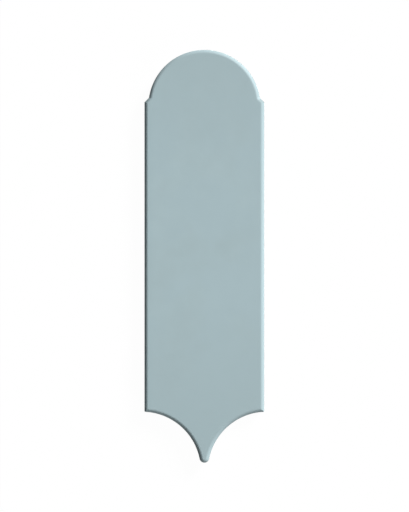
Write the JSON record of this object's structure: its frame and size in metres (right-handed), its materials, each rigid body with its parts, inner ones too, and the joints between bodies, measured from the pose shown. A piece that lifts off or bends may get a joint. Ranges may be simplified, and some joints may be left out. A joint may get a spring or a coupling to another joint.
{
  "type": "feather ceramic tile",
  "caption": "Feather-shaped glazed ceramic wall tile: round head, straight long sides and a hollowed, pointed tail that nests over the heads of the next row.",
  "frame": {"origin": "middle of the tile's width and length, on the plane of the back's rib crests", "axes": "+Z out of the glazed face, +Y along the tile from the tail to the round head, +X to the right seen from the glazed side with the head up"},
  "size_m": [0.065, 0.2241, 0.008],
  "materials": {
    "glazed_ceramic": "satin glaze, pale grey blue with faint cloudy tone on tone variation, over a pale unglazed pressed body on the sides and back"
  },
  "bodies": {
    "root": {"feather_tile": "glazed_ceramic"}
  },
  "joints": []
}
